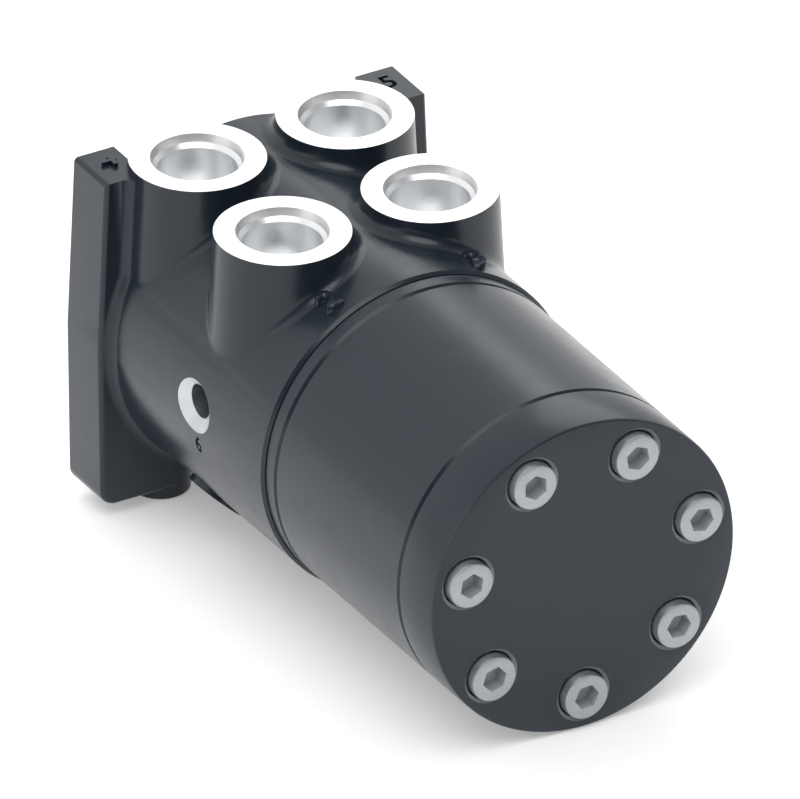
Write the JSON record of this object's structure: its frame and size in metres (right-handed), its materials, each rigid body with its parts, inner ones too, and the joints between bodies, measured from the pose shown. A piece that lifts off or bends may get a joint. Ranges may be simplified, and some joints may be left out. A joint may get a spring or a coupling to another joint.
{
  "type": "orbital steering unit",
  "caption": "Cylindrical hydraulic steering unit: cast housing with upward port bosses, side port and rear flange, gerotor ring behind a bolted round cover.",
  "frame": {"origin": "centre of the rear mounting face, on the main axis", "axes": "+Y out of the mounting face along the main axis, +Z out of the four port faces, end cover towards -Y"},
  "size_m": [0.0994, 0.182, 0.1017],
  "materials": {
    "cast_iron": "dark slate grey paint, machined port faces bright",
    "painted_steel": "same dark slate grey paint, satin",
    "zinc_steel": "light matte zinc plating",
    "ground_steel": "ground and lapped steel",
    "spring_steel": "oiled spring steel",
    "rubber": "black nitrile rubber"
  },
  "bodies": {
    "housing_body": {"housing": "cast_iron", "distributor_plate": "painted_steel", "gerotor_ring": "painted_steel", "end_cover": "painted_steel", "cover_screws": "zinc_steel", "pin_screw": "zinc_steel", "check_bushing": "ground_steel", "bearing_outer_race": "ground_steel", "shaft_seal": "rubber", "dust_seal": "rubber", "seam_o_rings": "rubber", "relief_seat": "ground_steel", "relief_adjuster": "ground_steel", "relief_spring": "spring_steel", "relief_plug": "zinc_steel", "relief_plug_seal": "rubber", "shock_spring_left": "spring_steel", "shock_spring_right": "spring_steel", "shock_seats": "ground_steel", "shock_plugs": "zinc_steel"},
    "sleeve_body": {"control_sleeve": "ground_steel", "cross_pin": "ground_steel", "centering_springs": "spring_steel", "spring_ring": "ground_steel", "bearing_inner_race": "ground_steel"},
    "spool_body": {"control_spool": "ground_steel"},
    "cage_body": {"bearing_cage": "ground_steel", "bearing_needles": "ground_steel"},
    "orbit_body": {"star_spacer": "ground_steel"},
    "star_body": {"gerotor_star": "ground_steel"},
    "cardan_body": {"cardan_shaft": "ground_steel"},
    "check_ball_body": {"check_ball": "ground_steel"},
    "poppet_body": {"relief_poppet": "ground_steel"},
    "shock_ball_left_body": {"shock_ball_left": "ground_steel"},
    "shock_ball_right_body": {"shock_ball_right": "ground_steel"}
  },
  "joints": [
    {"name": "sleeve_turn", "type": "hinge", "parent": "housing_body", "child": "sleeve_body", "pos_m": [0, 0, 0], "axis": [0, 1, 0], "continuous": true},
    {"name": "spool_deflection", "type": "hinge", "parent": "sleeve_body", "child": "spool_body", "pos_m": [0, 0, 0], "axis": [0, 1, 0], "range_deg": [-8, 8], "stiffness_Nm_per_rad": 10, "deforming": ["centering_springs"]},
    {"name": "cage_turn", "type": "hinge", "parent": "housing_body", "child": "cage_body", "pos_m": [0, -0.02525, 0], "axis": [0, 1, 0], "continuous": true},
    {"name": "star_orbit", "type": "hinge", "parent": "housing_body", "child": "orbit_body", "pos_m": [0, -0.13, 0], "axis": [0, 1, 0], "continuous": true},
    {"name": "star_spin", "type": "hinge", "parent": "orbit_body", "child": "star_body", "pos_m": [0, -0.13, -0.003], "axis": [0, 1, 0], "continuous": true},
    {"name": "cardan_spin", "type": "hinge", "parent": "orbit_body", "child": "cardan_body", "pos_m": [0, -0.046, 0], "axis": [0, 0.9993, 0.0368], "continuous": true},
    {"name": "check_ball_lift", "type": "slide", "parent": "housing_body", "child": "check_ball_body", "axis": [0, -1, 0], "range_m": [0, 0.0015]},
    {"name": "relief_poppet_lift", "type": "slide", "parent": "housing_body", "child": "poppet_body", "axis": [-0.682, 0, -0.7314], "range_m": [0, 0.001], "stiffness_N_per_m": 4000, "deforming": ["relief_spring"]},
    {"name": "shock_ball_left_lift", "type": "slide", "parent": "housing_body", "child": "shock_ball_left_body", "axis": [0, 0, -1], "range_m": [0, 0.0008], "stiffness_N_per_m": 2000, "deforming": ["shock_spring_left"]},
    {"name": "shock_ball_right_lift", "type": "slide", "parent": "housing_body", "child": "shock_ball_right_body", "axis": [0, 0, -1], "range_m": [0, 0.0008], "stiffness_N_per_m": 2000, "deforming": ["shock_spring_right"]}
  ],
  "couplings": [
    {"joint": "cage_turn", "follows": "sleeve_turn", "ratio": 0.5},
    {"joint": "star_orbit", "follows": "sleeve_turn", "ratio": -6},
    {"joint": "star_spin", "follows": "sleeve_turn", "ratio": 7},
    {"joint": "cardan_spin", "follows": "sleeve_turn", "ratio": 7}
  ]
}
